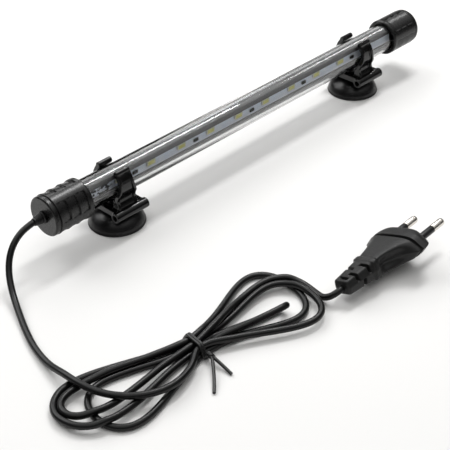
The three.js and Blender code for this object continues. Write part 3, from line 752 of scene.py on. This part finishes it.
def make_holder(side):
    clip = melted(f"{side}_snap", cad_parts[f"{side}_clip"].data.copy(), 0.24, 6)
    piece(f"{side}_snap_clip", clip, "clip_black", f"{side}_bracket", f"{side}_clip")
    profile = [
        (0, 3.4), (5, 3.2), (9.5, 2.2), (12.6, 0.7), (13.8, 0.02), (15.0, 0.02), (15.3, 0.25), (15.25, 0.75),
        (14.9, 1.15), (14.7, 2.4), (13.6, 4.7), (11.6, 6.7), (9, 8.2), (6.4, 9.2), (5.6, 10.65),
        (3.6, 10.7), (3.6, 13.1), (4.9, 13.1), (4.9, 13.9), (4.2, 14.5), (0, 14.5),
    ]
    dome = [*fillet(profile[:15], 3, 6), *fillet(profile[14:], 0.25)[1:]]
    low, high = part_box(f"{side}_suction_cup")
    centre = Matrix.Translation(((low.x + high.x) / 2, (low.y + high.y) / 2, 0))
    cup = placed(turned(dome, 120), centre)
    name = f"{side}_rubber_cup"
    piece(name, to_mesh(name, *cup), "black_rubber", f"{side}_cup", f"{side}_suction_cup")


# ------------------------------------------------------------------ LED strip


def rounded_box(size, place, bevel):
    """A box with rounded edges; returns its mesh data as points and faces."""
    shape = bmesh.new()
    bmesh.ops.create_cube(shape, size=1)
    bmesh.ops.scale(shape, vec=size, verts=shape.verts)
    bmesh.ops.bevel(shape, geom=shape.edges, offset=bevel, segments=3, profile=0.5, affect="EDGES")
    bmesh.ops.translate(shape, vec=place, verts=shape.verts)
    shape.verts.ensure_lookup_table()
    points = [vert.co.copy() for vert in shape.verts]
    faces = [[vert.index for vert in face.verts] for face in shape.faces]
    shape.free()
    return points, faces


def joined_mesh(name, *layers):
    """One mesh from layers of (shape, slot), each in its own look."""
    mesh = to_mesh(name, *together(*[shape for shape, _ in layers]))
    start = 0
    for index, (shape, slot) in enumerate(layers):
        for face in mesh.polygons[start:start + len(shape[1])]:
            face.material_index = index
        start += len(shape[1])
        mesh.materials.append(LOOKS[slot])
    return mesh


def led_mesh(name, low, high):
    """An LED package: a pale frame round a window of phosphor, a tinned contact at each end."""
    size = high - low
    middle = (low + high) / 2
    bevel = 0.08 * MM
    rail = (size.x, size.y, 0.42 * MM)
    post = (0.5 * MM, size.y * 0.98, size.z * 0.96)
    rail_shift = Vector((0, 0, size.z / 2 - 0.21 * MM))
    post_shift = Vector((size.x / 2 - 0.3 * MM, 0, 0))
    package = together(
        rounded_box(rail, middle + rail_shift, bevel),
        rounded_box(rail, middle - rail_shift, bevel),
        rounded_box(post, middle + post_shift, bevel),
        rounded_box(post, middle - post_shift, bevel),
    )
    opening = (size.x - 0.5 * MM, size.y * 0.82, size.z - 0.5 * MM)
    window = rounded_box(opening, middle + Vector((0, 0.05 * MM, 0)), 0.1 * MM)
    contact = (0.75 * MM, size.y * 0.5, size.z * 0.5)
    reach = size.x / 2 + 0.1 * MM
    contacts = together(*[
        rounded_box(contact, middle + Vector((sign * reach, size.y * 0.22, 0)), 0.12 * MM)
        for sign in (-1, 1)
    ])
    return joined_mesh(name, (package, "led_body"), (window, "led_phosphor"), (contacts, "solder"))


def make_strip():
    for index in range(1, 11):
        node = f"led_{index}"
        mesh = led_mesh(node, *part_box(node))
        obj = link(bpy.data.objects.new(f"led_chip_{index}", mesh))
        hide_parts(node)
        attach(obj, "lamp")


# ------------------------------------------------------------------ plug

PLUG_FACE = (-0.0207, -0.1267, 0.0103)
PLUG_YAW, PLUG_TILT, PLUG_ROLL = 0.012, 0.049, 0.373  # radians, as it rests on one edge
PLUG_PLACE = (
    Matrix.Translation(PLUG_FACE)
    @ Matrix.Rotation(PLUG_YAW, 4, "Z")
    @ Matrix.Rotation(-PLUG_TILT, 4, "Y")
    @ Matrix.Rotation(-PLUG_ROLL, 4, "X")
)
PIN_OFFSET = 8.4  # millimetres to each side
# Stations back from the grip's face, millimetres: half width, half height and how far the sides slant.
GRIP_STATIONS = [
    (0, 12.4, 4.9, 0.36), (0.5, 13.4, 5.6, 0.37), (1.4, 14.6, 6.1, 0.38), (3, 16.4, 6.25, 0.38),
    (5, 17.45, 6.3, 0.38), (9, 17.6, 6.3, 0.38), (11, 17.0, 6.25, 0.37), (14, 14.9, 6.1, 0.34),
    (18, 11.9, 5.9, 0.28), (22, 9.5, 5.6, 0.2), (26, 7.9, 5.3, 0.14), (29, 6.8, 5.0, 0.12),
    (29.8, 7.4, 5.5, 0.12), (32.4, 7.4, 5.4, 0.12), (33.1, 6.5, 4.9, 0.12), (34, 6.2, 4.7, 0.12),
    (49.4, 4.9, 3.8, 0.12), (50, 4.5, 3.5, 0.12), (50.3, 3.9, 3.0, 0.12),
]
GROOVE_BACK = 9.5  # the groove round the grip, millimetres from the face
GROOVE_IN, GROOVE_DOWN = 2.0, 1.6  # its depth at the sides, and above and below
SLOT_DEPTH = 2.1
# Slots in the strain relief: distance back, first angle of the pair, half their span.
RELIEF_SLOTS = [(35.6, 135, 44), (39.6, 45, 44), (43.6, 135, 44), (47.6, 88, 34)]


def grip_section(back):
    """Half width, half height, slant of the sides and depth of the finger hollows at a distance back."""
    stations = np.array(GRIP_STATIONS).T
    width, height, slant = (float(np.interp(back, stations[0], row)) for row in stations[1:])
    groove = smoothstep(1.0, 0.7, abs(back - GROOVE_BACK))
    hollow = 3.4 * smoothstep(11, 17, back) * smoothstep(31, 24, back)
    return width - GROOVE_IN * groove, height - GROOVE_DOWN * groove, slant, hollow


def slot_depth(back, angle):
    depth = 0
    for place, first, half in RELIEF_SLOTS:
        swing = abs((math.degrees(angle) - first + 90) % 180 - 90)
        depth = max(depth, smoothstep(1.05, 0.8, abs(back - place)) * smoothstep(half, half - 7, swing))
    return SLOT_DEPTH * depth


def grip_shape():
    segments = 160
    points, faces = [], []
    backs = np.concatenate([
        np.linspace(0, 1.4, 8), np.arange(1.7, 8.6, 0.4), np.arange(8.6, 10.6, 0.12),
        np.arange(10.8, 30, 0.4), np.arange(30, 49.4, 0.16), np.linspace(49.4, 50.3, 8),
    ])
    for back in backs:
        width, height, slant, hollow = grip_section(back)
        for k in range(segments):
            angle = TAU * k / segments
            across, up = math.cos(angle), math.sin(angle)
            ring = (abs(up) ** 7 + (abs(across) + slant * abs(up)) ** 7) ** (-1 / 7)
            y, z = width * ring * across, height * ring * up
            dent = hollow * math.exp(-(((abs(z) - 0.6) / 3.1) ** 2)) * abs(across) ** 0.5
            y -= math.copysign(dent, across)
            if back > 33:
                less = 1 - slot_depth(back, angle) / math.hypot(y, z)
                y, z = y * less, z * less
            points.append(Vector((-back, y, z)) * MM)
    rings = [range(start, start + segments) for start in range(0, len(points), segments)]
    for near, far in zip(rings, rings[1:]):
        for k in range(segments):
            m = (k + 1) % segments
            faces.append([near[k], far[k], far[m], near[m]])
    faces.append(list(rings[0]))
    faces.append(list(reversed(rings[-1])))
    return points, faces


def make_plug():
    body = melted("plug_skin", to_mesh("plug_rough", *grip_shape()), 0.25, 2)
    body.transform(PLUG_PLACE)
    pieces = [piece("plug_grip", body, "plug_black", "lamp", "plug_body")]
    # Radius and distance out from the face, millimetres.
    pin = [
        (0, -0.6), (1.45, -0.6), (1.45, 10.05), (2, 10.15),
        (2, 17.6), (1.8, 18.3), (1.25, 18.8), (0, 19),
    ]
    sleeve = [(1.5, -0.8), (1.95, -0.8), (1.95, 10), (1.5, 10)]
    rod = turned(fillet(pin, 0.5), 56)
    ring = turned(fillet(sleeve, 0.18, closed=True), 56, closed=True)
    for side, sign in (("left", 1), ("right", -1)):
        place = PLUG_PLACE @ Matrix.Translation((0, sign * PIN_OFFSET * MM, 0)) @ ALONG_X
        rod_mesh = to_mesh(f"{side}_pin", *placed(rod, place))
        pieces.append(piece(f"{side}_pin", rod_mesh, "nickel", "lamp", f"{side}_plug_pin"))
        ring_mesh = to_mesh(f"{side}_sleeve", *placed(ring, place))
        pieces.append(piece(f"{side}_sleeve", ring_mesh, "black_rubber", "lamp", f"{side}_pin_sleeve"))
    return pieces


# ------------------------------------------------------------------ carried-over CAD nodes and the rest


def keep(node, slot, bevel=0.12):
    """A CAD node stays as it is, with softer edges and a better finish."""
    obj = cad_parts[node]
    soft = obj.modifiers.new("edges", "BEVEL")
    soft.width = bevel * MM
    soft.segments = 2
    soft.limit_method = "ANGLE"
    soft.angle_limit = math.radians(40)
    soft.use_clamp_overlap = True
    obj.data.materials.clear()
    obj.data.materials.append(LOOKS[slot])


def make_floor():
    points = [(x, y, -0.05 * MM) for x, y in ((-4, -4), (4, -4), (4, 4), (-4, 4))]
    floor = link(bpy.data.objects.new("floor", to_mesh("floor", points, [[0, 1, 2, 3]])))
    paper = moulded(
        "paper", (0.8, 0.795, 0.788), (0.815, 0.81, 0.802),
        (0.7, 0.85), 400, 0.05, 4,
    )
    floor.data.materials.append(paper)


make_camera()
make_studio()
LOOKS = make_looks()

cord, cord_length = make_cord()
plug_pieces = make_plug()
make_tie()
make_enclosure()
make_holder("near")
make_holder("far")
make_strip()
for node, slot in {
    "near_cap_seal": "black_rubber",
    "far_cap_seal": "black_rubber",
    "near_end_plug": "black_rubber",
    "far_end_plug": "black_rubber",
    "led_carrier": "dark_carrier",
    "led_board": "white_board",
    "driver_board": "green_board",
    "dropper_capacitor": "part_beige",
    "bridge_rectifier": "part_black",
    "smoothing_capacitor": "part_black",
    "live_wire": "wire_brown",
    "neutral_wire": "wire_blue",
    "positive_lead": "wire_red",
    "negative_lead": "part_black",
    **{f"chip_resistor_{index}": "part_black" for index in range(1, 6)},
}.items():
    keep(node, slot)
make_floor()
